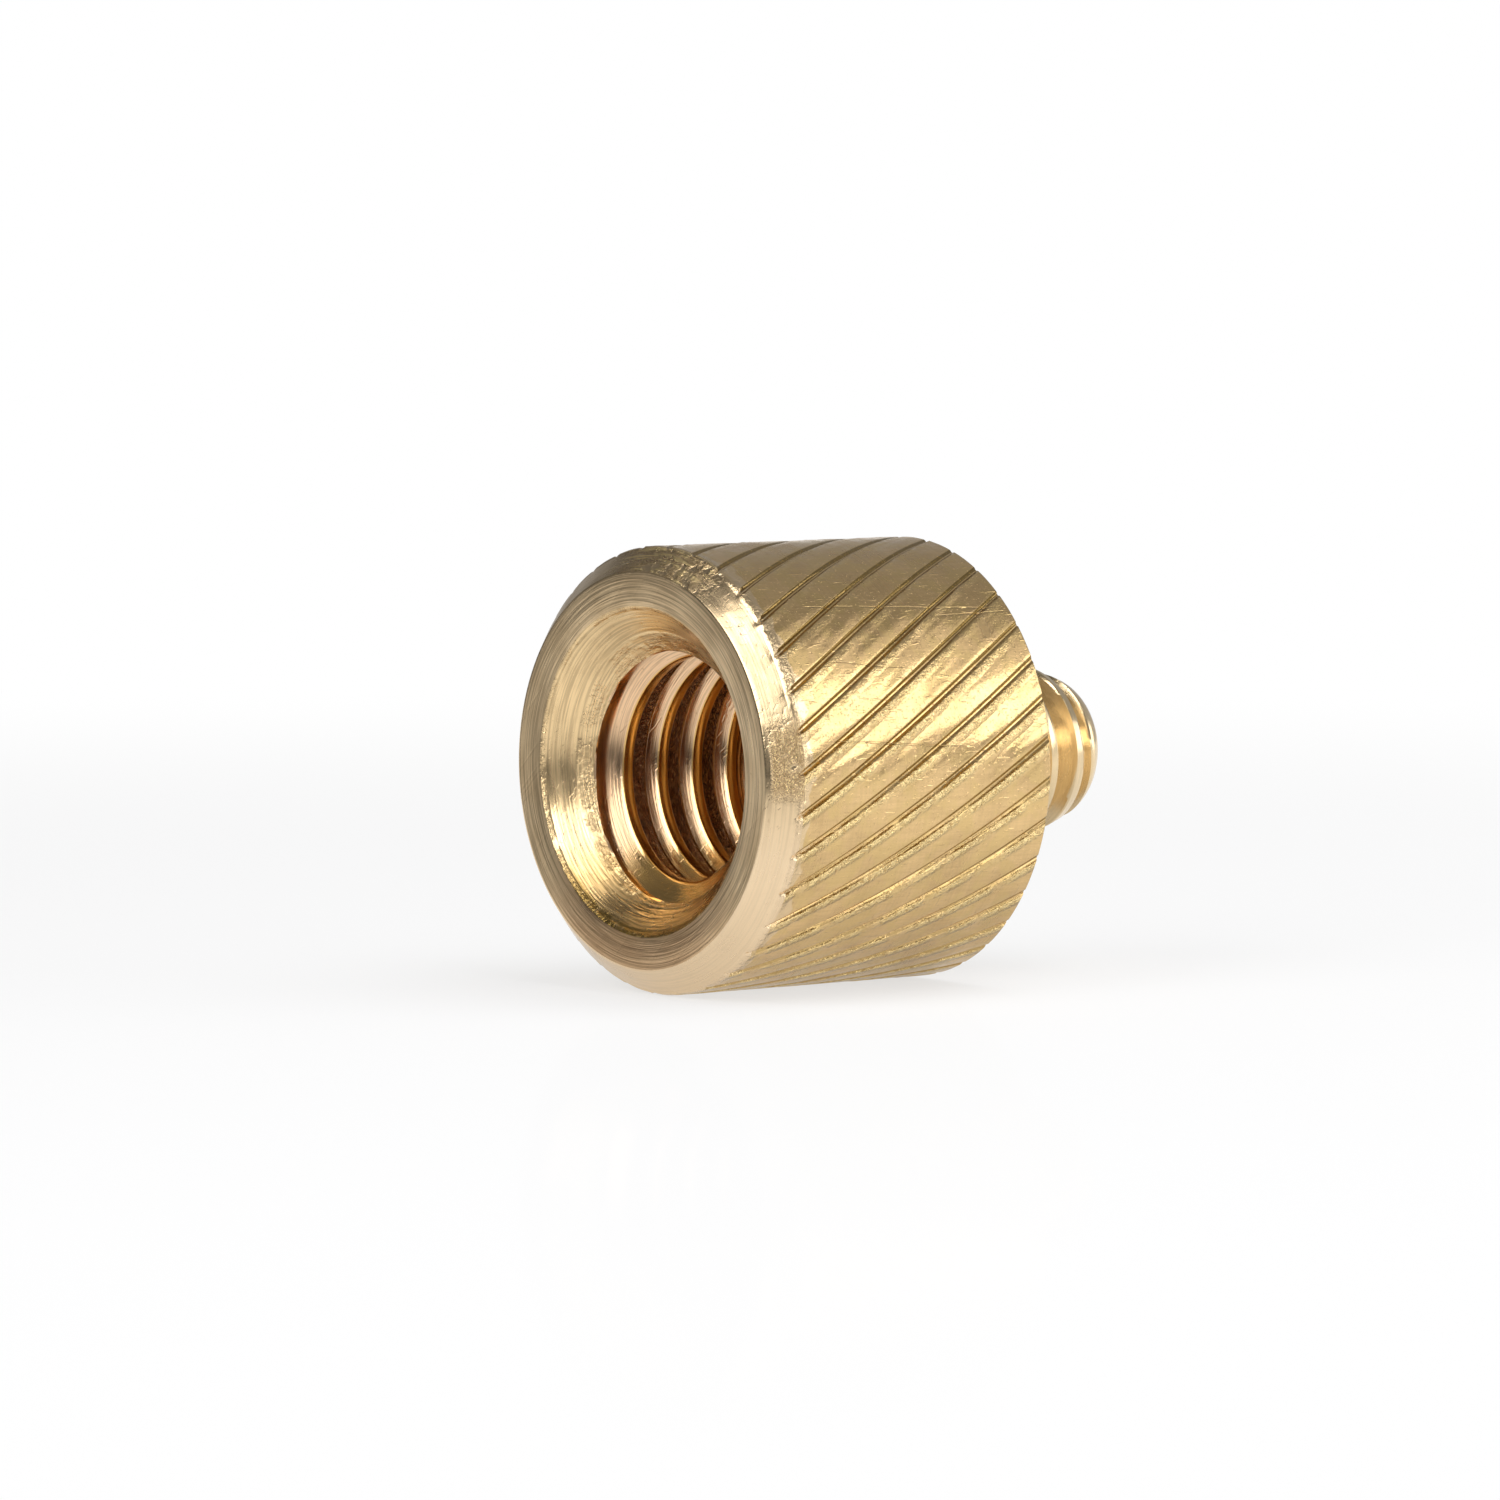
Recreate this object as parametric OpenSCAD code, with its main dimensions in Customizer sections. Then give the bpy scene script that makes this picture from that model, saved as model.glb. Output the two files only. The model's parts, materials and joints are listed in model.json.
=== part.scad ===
// Thread adapter turned from one brass rod: a knurled barrel with a threaded hole in its
// mouth, and a short threaded stud on its shoulder. It stands on its mouth, stud up.
// Both threads are plain here: the hole and the stud are at the crests of their threads.

/* [Barrel] */
// Diameter over the lands between the grooves
barrel_d = 16; // [15:0.5:20]
// Length from the mouth face to the shoulder
barrel_l = 12.3; // [12:0.1:18]
// Width and height of the bevel round the mouth face
bevel = 0.9; // [0.6:0.1:1.2]
// Radius that softens both edges of the bevel
bevel_r = 0.5; // [0.2:0.1:0.6]

/* [Knurl] */
// Number of grooves round the barrel
grooves = 34; // [24:1:36]
// Angle between a groove and the barrel's axis, in degrees
groove_angle = 30.5; // [20:0.5:35]
// Width of a groove, measured square to it
groove_w = 0.34; // [0.28:0.02:0.5]
// Depth of a groove
groove_h = 0.16; // [0.12:0.02:0.24]

/* [Threaded hole] */
// Diameter of the hole at its thread's crests
hole_d = 8; // [7.8:0.05:8.15]
// Depth of the full hole from the mouth face
hole_l = 8.6; // [7:0.1:9]
// Diameter of the countersink at the mouth face
sink_d = 11.7; // [10.5:0.1:12]
// Angle of the countersink across its two sides, in degrees
sink_angle = 90; // [80:5:120]
// Angle of the drill's point at the bottom of the hole, in degrees
point_angle = 118; // [110:1:140]

/* [Threaded stud] */
// Diameter of the stud at its thread's crests
stud_d = 6.2; // [6.12:0.02:6.32]
// Length of the stud from the shoulder to its tip
stud_l = 7.6; // [6:0.1:10]
// Length of the lead-in, where the stud narrows to its tip
lead_l = 2.2; // [1.8:0.1:2.6]
// Angle between the lead-in and the stud's axis, in degrees
lead_angle = 20; // [15:1:25]
// Radius that rounds the stud's tip
tip_r = 1.5; // [1:0.1:1.6]

/* [Hidden] */

barrel_r = barrel_d / 2;
hole_r = hole_d / 2;
sink_r = sink_d / 2;
stud_r = stud_d / 2;
// How far a cutter or a joined solid reaches past a face
over = 0.5;
// Number of straight steps in each round of a section
arc_steps = 6;

// The face's flat part ends at the bevel's inner edge
face_r = barrel_r - bevel;
// Length that the softening takes off each side of the bevel's two edges, which turn by 45 degrees
soft = bevel_r * tan(22.5);

sink_h = (sink_r - hole_r) / tan(sink_angle / 2);
point_h = hole_r / tan(point_angle / 2);

// A groove's turn for each millimetre of height, and over the whole cutter, in degrees
groove_twist = tan(groove_angle) / barrel_r * 180 / PI;
cutter_l = barrel_l + 2 * over;
cutter_turn = cutter_l * groove_twist;
// Half the width of a groove across the axis, and the slope of its sides
groove_half = groove_w / 2 / cos(groove_angle);
groove_slope = groove_half / groove_h;
// Direction of the first groove where it would meet the mouth face
first_groove = 4.2;
// Each step of a groove turns by about this many degrees
groove_step = 4.5;

// The lead-in starts at lead_z above the shoulder, and the tip's round is tangent to it
lead_z = stud_l - lead_l;
tip_z = stud_l - tip_r;
tip_x = stud_r - (tip_z - lead_z) * tan(lead_angle) - tip_r / cos(lead_angle);

// Points along a round of radius r about c, from one angle to another
function arc(c, r, from, to) = [
    for (i = [0 : arc_steps])
        let (a = from + (to - from) * i / arc_steps)
        c + r * [cos(a), sin(a)]
];

// Half section of the barrel, with the bevel and its softened edges
module barrel_section() {
    polygon(concat(
        [[0, 0]],
        arc([face_r - soft, bevel_r], bevel_r, -90, -45),
        arc([barrel_r - bevel_r, bevel + soft], bevel_r, -45, 0),
        [[barrel_r, barrel_l], [0, barrel_l]]
    ));
}

// Half section of the stud, from inside the barrel to its rounded tip
module stud_section() {
    polygon(concat(
        [[0, -over], [stud_r, -over], [stud_r, lead_z]],
        arc([tip_x, tip_z], tip_r, lead_angle, 90),
        [[0, stud_l]]
    ));
}

// Section of one groove: a vee that opens outward, carried past the barrel's surface
module groove_section() {
    polygon([
        [barrel_r - groove_h, 0],
        [barrel_r + over, -groove_half - over * groove_slope],
        [barrel_r + over, groove_half + over * groove_slope]
    ]);
}

// All the grooves of the knurl, which run up the barrel as left-hand helices
module knurl() {
    translate([0, 0, -over])
        rotate([0, 0, first_groove + over * groove_twist])
        linear_extrude(height = cutter_l, twist = cutter_turn, slices = ceil(cutter_turn / groove_step))
        for (i = [0 : grooves - 1])
            rotate([0, 0, i * 360 / grooves]) groove_section();
}

// The drilled and countersunk hole, open at the mouth face
module hole() {
    cylinder(h = hole_l, r = hole_r, $fn = 96);
    translate([0, 0, hole_l]) cylinder(h = point_h, r1 = hole_r, r2 = 0, $fn = 96);
    cylinder(h = sink_h, r1 = sink_r, r2 = hole_r, $fn = 96);
    // Opens the mouth cleanly, below the face
    translate([0, 0, -over]) cylinder(h = over, r = sink_r, $fn = 96);
}

module adapter() {
    color("goldenrod") {
        difference() {
            rotate_extrude($fn = 144) barrel_section();
            knurl();
            hole();
        }
        translate([0, 0, barrel_l]) rotate_extrude($fn = 96) stud_section();
    }
}

adapter();
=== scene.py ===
"""Looks of the thread adapter: its surface with the knurl and both threads, turned-brass finishes,
and a pale studio. Sizes are in millimetres, and they turn into metres only where Blender takes them."""

import json
import math

import bmesh
import bpy
import numpy as np
from mathutils import Matrix, Vector


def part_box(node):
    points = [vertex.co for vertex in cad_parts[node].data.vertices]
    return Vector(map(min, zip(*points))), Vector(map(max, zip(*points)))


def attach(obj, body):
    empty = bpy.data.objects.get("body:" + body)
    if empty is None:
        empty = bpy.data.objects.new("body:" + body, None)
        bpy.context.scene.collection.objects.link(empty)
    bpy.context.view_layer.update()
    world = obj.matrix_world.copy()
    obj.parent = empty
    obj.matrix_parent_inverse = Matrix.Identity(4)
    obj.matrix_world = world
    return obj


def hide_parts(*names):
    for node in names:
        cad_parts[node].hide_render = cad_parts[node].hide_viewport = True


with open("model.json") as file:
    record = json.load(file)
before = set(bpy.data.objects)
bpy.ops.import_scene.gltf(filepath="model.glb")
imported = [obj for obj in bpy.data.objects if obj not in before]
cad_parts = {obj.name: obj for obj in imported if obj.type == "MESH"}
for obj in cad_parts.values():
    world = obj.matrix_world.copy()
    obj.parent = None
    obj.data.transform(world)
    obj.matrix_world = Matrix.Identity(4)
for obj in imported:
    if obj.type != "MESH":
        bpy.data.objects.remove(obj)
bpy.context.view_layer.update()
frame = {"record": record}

MM = 0.001
RNG = np.random.default_rng(7)

# ---------------------------------------------------------------- sizes that come from the frame
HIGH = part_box("adapter")[1]
MOUNTS = {mount["name"]: mount for mount in frame["record"]["mounts"]}
BARREL_R = round(HIGH.x / MM, 1)
TOTAL_L = round(HIGH.z / MM, 2)
BARREL_L = MOUNTS["shoulder"]["pos_m"][2] / MM
HOLE_R = MOUNTS["threaded_hole"]["dims"]["r_mm"]
STUD_R = MOUNTS["stud"]["dims"]["r_mm"]
LEAD_Z = BARREL_L + MOUNTS["stud"]["dims"]["length_mm"]  # the stud narrows from here to its tip

# ---------------------------------------------------------------- sizes of the finished surface
LAND_R = BARREL_R - 0.03           # the lands lie a little under the raised lips of the grooves
LAND_CROWN = 0.024                 # a land's edges lie this much under its middle
BEVEL = 0.9                        # width and height of the bevel round the mouth
BEVEL_ROUND = 0.32                 # radius that softens the bevel's outer edge
BEVEL_END = BEVEL + 0.2            # height at which its finish gives way to the knurled one
FACE_ROUND = 0.12                  # radius that softens the bevel's inner edge
FACE_BAND = 0.12                   # width of the band where the barrel's columns give way to the mouth's
FACE_DISH = 0.045                  # the mouth face is this much deeper at its inner edge
RIM_ROUND = 0.07                   # radius of the worn edge at the shoulder
RIM_BAND = 0.15                    # the stud's columns start this far inside the grooves' floors

GROOVES = 34
GROOVE_ANGLE = math.radians(30.5)  # between a groove and the barrel's axis, left-handed
FIRST_GROOVE = math.radians(4.2)
GROOVE_GAP = 2 * math.pi * BARREL_R / GROOVES * math.cos(GROOVE_ANGLE)  # square across, middle to middle
GROOVE_DEPTH = 0.12
GROOVE_FADE = 0.3                  # share of the depth that a groove has lost at the shoulder
GROOVE_WANDER = 0.12               # share by which the depth wanders along a groove
GROOVE_FLOOR = 0.035               # half width of a groove's flat bottom
GROOVE_HALF = 0.125                # half width of a groove at the surface
LIP_MAX = 0.028                    # height of the tallest lip
LIP_LOW = 0.25                     # share of that on the side that the knurl pressed first
LIP_FOOT = 0.2                     # share of a lip's height at the groove's edge
LIP_TOP = 0.16                     # distance of a lip's top from the groove's middle
LIP_END = 0.32                     # distance at which the lip has sunk into the land
LIP_MEAN = 0.55                    # mean share of its height that a ragged lip reaches
LIP_RAGGED = 0.6                   # share by which it varies
LIP_START_Z = 0.55                 # height on the bevel at which lips and crowned lands begin
LIP_RISE = 0.5                     # length over which they reach their full height
LIP_FALL = 0.1                     # length over which they sink away at the shoulder

SINK_R = 5.85                      # the 45 degree countersink at the mouth
SINK_EDGE = 0.03                   # width and height of the rounding at its outer edge
SINK_EDGE_MIDDLE = 0.008           # where the middle point of that rounding lies
SINK_START = SINK_R - 0.02         # radius at which the straight cone starts
SINK_MARGIN = 0.04                 # the plain cone ends this far outside the thread's root
HOLE_PITCH = 25.4 / 16
HOLE_ROOT_R = 9.525 / 2
HOLE_CREST = 0.44                  # width of the flat crest of the thread in the hole
HOLE_CREST_Z = 2.39                # a crest's near edge lies here, on the side at HOLE_CREST_TURN
HOLE_CREST_TURN = math.radians(225)
HOLE_L = 8.6
HOLE_PLAIN = 0.4                   # length without thread before the drill's point
HOLE_RUNOUT = 0.8                  # length over which the thread sinks away before that
HOLE_POINT = math.radians(59)      # half angle of the drill's point

STUD_PITCH = 25.4 / 20
STUD_ROOT_R = 2.42
STUD_CREST = 0.32
STUD_CREST_Z = 18.0                # a crest's middle lies here, on the side at STUD_CREST_TURN
STUD_CREST_TURN = math.radians(45)
STUD_RUNOUT = 0.5                  # length over which the thread sinks away at the shoulder
FOOT_WIDTH = 0.1                   # width and height of the slope between shoulder and stud
FOOT_HEIGHT = 0.06
LEAD_ANGLE = math.radians(20)
TIP_ROUND = 1.5
TIP_START_R = STUD_ROOT_R - 0.1    # the thread ends where the rounded tip has this radius
FLANK = math.radians(30)           # both threads have flanks at 30 degrees
CREST_EDGE = 0.03                  # width and depth of the rounding along both edges of a crest
CREST_EDGE_DROP = 0.018

MOUTH_COLUMNS = 216                # points round the mouth and its thread
STUD_COLUMNS = 120                 # points round the stud
MERGE_DISTANCE = 0.0005            # points closer than this become one
SHARP_ANGLE = math.radians(32)     # edges that turn more than this stay crisp

FINISHES = ["knurled", "bevelled", "faced", "countersunk", "tapped", "bored", "shouldered", "threaded"]


# ---------------------------------------------------------------- the surface
class Skin:
    """The adapter's surface: points and faces, with a finish for each face."""

    def __init__(self):
        self.points = []
        self.faces = []
        self.finishes = []

    def add_points(self, radius, turn, height):
        """Adds points given by radius, turn about the axis and height, and returns their numbers."""
        radius, turn, height = np.broadcast_arrays(radius, turn, height)
        points = np.stack([radius * np.cos(turn), radius * np.sin(turn), height], -1) * MM
        start = len(self.points)
        self.points.extend(points.reshape(-1, 3).tolist())
        return (start + np.arange(radius.size)).reshape(radius.shape)

    def sheet(self, radius, turn, height, finish):
        """Faces over rows by columns of points. finish is a name, a name per row, or a name per face."""
        number = self.add_points(radius, turn, height)
        corners = [number[:-1, :-1], number[:-1, 1:], number[1:, 1:], number[1:, :-1]]
        quads = np.stack(corners, -1)
        names = np.asarray(finish)
        names = names[:, None] if names.ndim == 1 else names
        names = np.broadcast_to(names, quads.shape[:2])
        self.faces.extend(quads.reshape(-1, 4).tolist())
        self.finishes.extend(FINISHES.index(name) for name in names.ravel())

    def turned(self, points, turn, finish):
        """A turned surface through points (radius, height)."""
        points = np.asarray(points)
        self.sheet(points[:, :1], turn[None, :], points[:, 1:2], finish)

    def stitch(self, ring_a, ring_b, finish):
        """Triangles between two rings that have their own numbers of points."""
        numbers = [self.add_points(*ring) for ring in (ring_a, ring_b)]
        turns = [ring[1] for ring in (ring_a, ring_b)]
        i, j = 0, 0
        while i < len(turns[0]) - 1 or j < len(turns[1]) - 1:
            a_done = i == len(turns[0]) - 1
            b_done = j == len(turns[1]) - 1
            if b_done or (not a_done and turns[0][i + 1] <= turns[1][j + 1]):
                self.faces.append([int(n) for n in (numbers[0][i], numbers[0][i + 1], numbers[1][j])])
                i += 1
            else:
                self.faces.append([int(n) for n in (numbers[0][i], numbers[1][j + 1], numbers[1][j])])
                j += 1
            self.finishes.append(FINISHES.index(finish))


def smooth_step(x):
    """0 up to x = 0, 1 from x = 1, and a soft rise between them."""
    x = np.clip(x, 0, 1)
    return x * x * (3 - 2 * x)


def arc(centre, radius, start, end, steps):
    """Points (radius, height) along an arc, with its angles in degrees."""
    angles = np.radians(np.linspace(start, end, steps + 1))
    return np.stack([centre[0] + radius * np.cos(angles), centre[1] + radius * np.sin(angles)], -1)


def line(start, end, steps):
    """Points (radius, height) along a straight line, without its two ends."""
    share = np.linspace(0, 1, steps + 1)[1:-1, None]
    return np.array(start) * (1 - share) + np.array(end) * share


def soft_noise(rows, columns, step):
    """Smooth noise between -1 and 1 along each row, with a knot every few columns."""
    knots = RNG.uniform(-1, 1, (rows, columns // step + 3))
    x = np.arange(columns) / step
    left = x.astype(int)
    share = smooth_step(x - left)
    return knots[:, left] * (1 - share) + knots[:, left + 1] * share


def barrel_profile():
    """Points (radius, height) from the mouth face over the bevel and up the barrel to the shoulder.
    Each arc and line ends with its number of steps."""
    soft = math.tan(math.radians(22.5))
    inner = arc([LAND_R - BEVEL - soft * FACE_ROUND, FACE_ROUND], FACE_ROUND, -90, -45, 4)
    outer = arc([LAND_R - BEVEL_ROUND, BEVEL + soft * BEVEL_ROUND], BEVEL_ROUND, -45, 0, 6)
    rim = arc([LAND_R - RIM_ROUND, BARREL_L - RIM_ROUND], RIM_ROUND, 0, 90, 3)
    return np.concatenate([inner, line(inner[-1], outer[0], 9), outer, line(outer[-1], rim[0], 84), rim])


def knurled_barrel(skin):
    """The barrel and its bevel. Its columns of points follow the grooves, 13 to each.
    Returns its first and last rings."""
    profile = barrel_profile()
    height = profile[:, 1:2]
    rows = len(profile)
    # The columns' distances from a groove's middle, the same on both sides, and one in the land's middle
    half = [GROOVE_FLOOR, 0.08, GROOVE_HALF, LIP_TOP, 0.24, 0.4]
    land_middle = GROOVE_GAP / 2
    across = [-x for x in reversed(half)] + half + [land_middle]
    groove = np.repeat(np.arange(GROOVES), len(across))
    offset = np.tile(across, GROOVES)
    turn = FIRST_GROOVE + groove * 2 * math.pi / GROOVES + offset / math.cos(GROOVE_ANGLE) / BARREL_R
    turn = np.append(turn, turn[0] + 2 * math.pi)
    groove = np.append(groove, 0)
    offset = np.append(offset, offset[0])
    side = np.abs(offset)[None, :]

    # The grooves get shallower towards the shoulder, and no two are quite alike
    fade = 1 - GROOVE_FADE * height / BARREL_L
    depth = GROOVE_DEPTH * fade * (1 + GROOVE_WANDER * soft_noise(GROOVES, rows, 9).T[:, groove])
    slope = depth / (GROOVE_HALF - GROOVE_FLOOR)
    cut = LAND_R - depth + np.maximum(side - GROOVE_FLOOR, 0) * slope

    # A lip of pushed-up metal runs along each side, taller on the side that the knurl pressed last
    lip_shape = np.interp(side, [GROOVE_HALF, LIP_TOP, LIP_END], [LIP_FOOT, 1, 0])
    lip_shape = lip_shape * np.where(offset > 0, 1, LIP_LOW) * (side >= GROOVE_HALF)
    ragged = np.clip(LIP_MEAN + LIP_RAGGED * soft_noise(2 * GROOVES, rows, 2), 0, 1)
    lip = LIP_MAX * lip_shape * ragged.T[:, 2 * groove + (offset > 0)]

    # Each land is a little crowned between its grooves
    crown = -LAND_CROWN * np.clip((land_middle - side) / (land_middle - GROOVE_HALF), 0, 1) ** 2
    on_barrel = smooth_step((height - LIP_START_Z) / LIP_RISE) * smooth_step((BARREL_L - height) / LIP_FALL)
    radius = np.minimum(profile[:, :1] + (lip + crown) * on_barrel, cut)

    twist = math.tan(GROOVE_ANGLE) / BARREL_R
    finish = ["bevelled" if z < BEVEL_END else "knurled" for z in profile[1:, 1]]
    skin.sheet(radius, turn[None, :] - twist * height, height, finish)
    first = (profile[0, 0], turn - twist * profile[0, 1], profile[0, 1])
    last = (radius[-1], turn - twist * BARREL_L, BARREL_L)
    return first, last


def turns_from(start, columns):
    """Even steps once round the axis, from a first turn."""
    return start + np.linspace(0, 2 * math.pi, columns + 1)


def thread_section(crest_r, root_r, pitch, crest, steps):
    """Distances along one pitch and the radius at each: crest, flank, root and flank back."""
    flank = abs(root_r - crest_r) * math.tan(FLANK)
    edge_r = crest_r + math.copysign(CREST_EDGE_DROP, root_r - crest_r)
    keys = [0, CREST_EDGE, crest - CREST_EDGE, crest, crest + flank, pitch - flank, pitch]
    radii = [edge_r, crest_r, crest_r, edge_r, root_r, root_r, edge_r]
    along = np.concatenate([
        [0, CREST_EDGE, crest / 2, crest - CREST_EDGE],
        np.linspace(crest, crest + flank, steps + 1)[:-1],
        np.linspace(crest + flank, pitch - flank, 4)[:-1],
        np.linspace(pitch - flank, pitch, steps + 1)[:-1],
    ])
    return along, np.interp(along, keys, radii)


def thread_strip(turn, along, section, pitch, start_z, low, high):
    """Heights and radii of a right-hand thread's rows between two heights.
    start_z is the height of a crest's near edge at turn 0."""
    first = math.floor((low - start_z - pitch) / pitch) - 1
    last = math.ceil((high - start_z + pitch) / pitch) + 1
    rows = np.concatenate([along + k * pitch for k in range(first, last)])
    radii = np.tile(section, last - first)
    height = start_z + rows[:, None] + pitch * turn[None, :] / (2 * math.pi)
    keep = (height.max(1) > low - pitch) & (height.min(1) < high + pitch)
    return np.clip(height[keep], low, high), np.broadcast_to(radii[keep][:, None], height[keep].shape)


def mouth(skin, ring):
    """The dished face, the countersink, the tapped hole and the bottom that the drill left."""
    turn = turns_from(ring[1][0], MOUTH_COLUMNS)
    face_r = ring[0] - FACE_BAND
    skin.stitch(ring, (face_r, turn, 0.0), "faced")
    edge = [(SINK_R + SINK_EDGE, FACE_DISH),
            (SINK_R + SINK_EDGE_MIDDLE, FACE_DISH + SINK_EDGE_MIDDLE),
            (SINK_START, FACE_DISH + SINK_EDGE)]
    skin.turned([(face_r, 0), edge[0]], turn, "faced")
    skin.turned(edge, turn, "countersunk")

    sink_top = FACE_DISH + SINK_EDGE + SINK_START  # height at which the cone would reach the axis
    cone_r = HOLE_ROOT_R + SINK_MARGIN
    thread_low = sink_top - cone_r
    cone_end = (cone_r, thread_low)
    skin.turned([edge[-1], *line(edge[-1], cone_end, 4), cone_end], turn, "countersunk")

    thread_high = HOLE_L - HOLE_PLAIN
    along, section = thread_section(HOLE_R, HOLE_ROOT_R, HOLE_PITCH, HOLE_CREST, 7)
    start_z = HOLE_CREST_Z - HOLE_PITCH * HOLE_CREST_TURN / (2 * math.pi)
    height, radius = thread_strip(turn, along, section, HOLE_PITCH, start_z, thread_low, thread_high)
    depth = smooth_step((thread_high - height) / HOLE_RUNOUT)
    radius = HOLE_R + (radius - HOLE_R) * depth
    cone = sink_top - height
    on_cone = radius < cone
    cone_faces = on_cone[:-1, :-1] & on_cone[1:, 1:] & on_cone[:-1, 1:] & on_cone[1:, :-1]
    finish = np.where(cone_faces, "countersunk", "tapped")
    skin.sheet(np.maximum(radius, cone), turn[None, :], height, finish)

    corner = (HOLE_R, HOLE_L)
    point = (0, HOLE_L + HOLE_R / math.tan(HOLE_POINT))
    skin.turned([(HOLE_R, thread_high), corner, *line(corner, point, 4), point], turn, "bored")


def stud(skin, ring):
    """The shoulder, the stud's thread with its narrowing lead-in, and the rounded tip."""
    turn = turns_from(ring[1][0], STUD_COLUMNS)
    plain_r = LAND_R - GROOVE_DEPTH - RIM_BAND
    thread_low = BARREL_L + FOOT_HEIGHT
    foot = [(STUD_R + FOOT_WIDTH, BARREL_L), (STUD_R, thread_low)]
    skin.stitch(ring, (plain_r, turn, BARREL_L), "shouldered")
    skin.turned([(plain_r, BARREL_L), *foot], turn, "shouldered")

    round_z = TOTAL_L - TIP_ROUND
    round_x = STUD_R - (round_z - LEAD_Z) * math.tan(LEAD_ANGLE) - TIP_ROUND / math.cos(LEAD_ANGLE)
    tangent_z = round_z + TIP_ROUND * math.sin(LEAD_ANGLE)
    tip_angle = math.degrees(math.acos((TIP_START_R - round_x) / TIP_ROUND))
    tip = arc([round_x, round_z], TIP_ROUND, tip_angle, 90, 7)
    thread_high = tip[0, 1]

    along, section = thread_section(STUD_R, STUD_ROOT_R, STUD_PITCH, STUD_CREST, 6)
    start_z = STUD_CREST_Z - STUD_CREST / 2 - STUD_PITCH * STUD_CREST_TURN / (2 * math.pi)
    height, radius = thread_strip(turn, along, section, STUD_PITCH, start_z, thread_low, thread_high)
    depth = smooth_step((height - thread_low) / STUD_RUNOUT)
    radius = STUD_R + (radius - STUD_R) * depth
    lead = STUD_R - np.maximum(height - LEAD_Z, 0) * math.tan(LEAD_ANGLE)
    dome = round_x + np.sqrt(np.maximum(TIP_ROUND ** 2 - np.maximum(height - round_z, 0) ** 2, 0))
    envelope = np.where(height < tangent_z, lead, dome)
    skin.sheet(np.minimum(radius, envelope), turn[None, :], height, "threaded")
    skin.turned([*tip, (tip[-1, 0] / 2, TOTAL_L), (0, TOTAL_L)], turn, "threaded")


def adapter_mesh():
    """The whole surface as one closed mesh."""
    skin = Skin()
    mouth_ring, shoulder_ring = knurled_barrel(skin)
    mouth(skin, mouth_ring)
    stud(skin, shoulder_ring)
    mesh = bpy.data.meshes.new("adapter_surface")
    mesh.from_pydata(skin.points, [], skin.faces)
    mesh.polygons.foreach_set("material_index", skin.finishes)
    shape = bmesh.new()
    shape.from_mesh(mesh)
    bmesh.ops.remove_doubles(shape, verts=shape.verts, dist=MERGE_DISTANCE * MM)
    bmesh.ops.dissolve_degenerate(shape, edges=shape.edges, dist=MERGE_DISTANCE * MM)
    bmesh.ops.recalc_face_normals(shape, faces=shape.faces)
    shape.to_mesh(mesh)
    shape.free()
    mesh.shade_smooth()
    mesh.set_sharp_from_angle(angle=SHARP_ANGLE)
    return mesh


# ---------------------------------------------------------------- shader helpers
def feed(tree, socket, value):
    """Gives an input socket a value, or links it to the socket that feeds it."""
    if isinstance(value, bpy.types.NodeSocket):
        tree.links.new(value, socket)
    else:
        socket.default_value = value


def node(tree, kind, inputs=None, **settings):
    """Adds a node. inputs gives each socket, by name or number, a value or the socket that feeds it."""
    made = tree.nodes.new(kind)
    for name, value in settings.items():
        setattr(made, name, value)
    for name, value in (inputs or {}).items():
        feed(tree, made.inputs[name], value)
    return made


def math_node(tree, operation, *values):
    """The result of a Math node."""
    return node(tree, "ShaderNodeMath", dict(enumerate(values)), operation=operation).outputs[0]


def product(tree, *factors):
    """The factors multiplied together."""
    total = factors[0]
    for factor in factors[1:]:
        total = math_node(tree, "MULTIPLY", total, factor)
    return total


def highest(tree, *values):
    """The greatest of the values."""
    top = values[0]
    for value in values[1:]:
        top = math_node(tree, "MAXIMUM", top, value)
    return top


def add_to(tree, base, pattern, amount):
    """A height in millimetres, or a roughness, with an amount of a pattern added."""
    return math_node(tree, "MULTIPLY_ADD", pattern, amount, base)


def ramp(tree, value, low, high, start=0.0, end=1.0):
    """value mapped smoothly from the range low to high onto the range start to end."""
    sockets = {"Value": value, "From Min": low, "From Max": high, "To Min": start, "To Max": end}
    return node(tree, "ShaderNodeMapRange", sockets, interpolation_type="SMOOTHSTEP").outputs["Result"]


def mix_colour(tree, share, a, b, blend="MIX"):
    """Colour a, changed by colour b to a share."""
    made = node(tree, "ShaderNodeMix", data_type="RGBA", blend_type=blend)
    for name, value in (("Factor_Float", share), ("A_Color", a), ("B_Color", b)):
        feed(tree, next(s for s in made.inputs if s.identifier == name), value)
    return next(s for s in made.outputs if s.identifier == "Result_Color")


def shade(tree, tint, pattern, low, high, darkest):
    """The colour made darker where the pattern is low."""
    tone = ramp(tree, pattern, low, high, darkest)
    grey = node(tree, "ShaderNodeCombineColor", {0: tone, 1: tone, 2: tone}).outputs[0]
    return mix_colour(tree, 1.0, tint, grey, "MULTIPLY")


def object_position(tree):
    """The place on the object itself, in metres."""
    return node(tree, "ShaderNodeTexCoord").outputs["Object"]


def noise(tree, vector, scale=1.0, detail=2.0, distortion=0.0):
    """Noise at a place given by a vector."""
    sockets = {"Vector": vector, "Scale": scale, "Detail": detail, "Distortion": distortion}
    return node(tree, "ShaderNodeTexNoise", sockets).outputs["Fac"]


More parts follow.
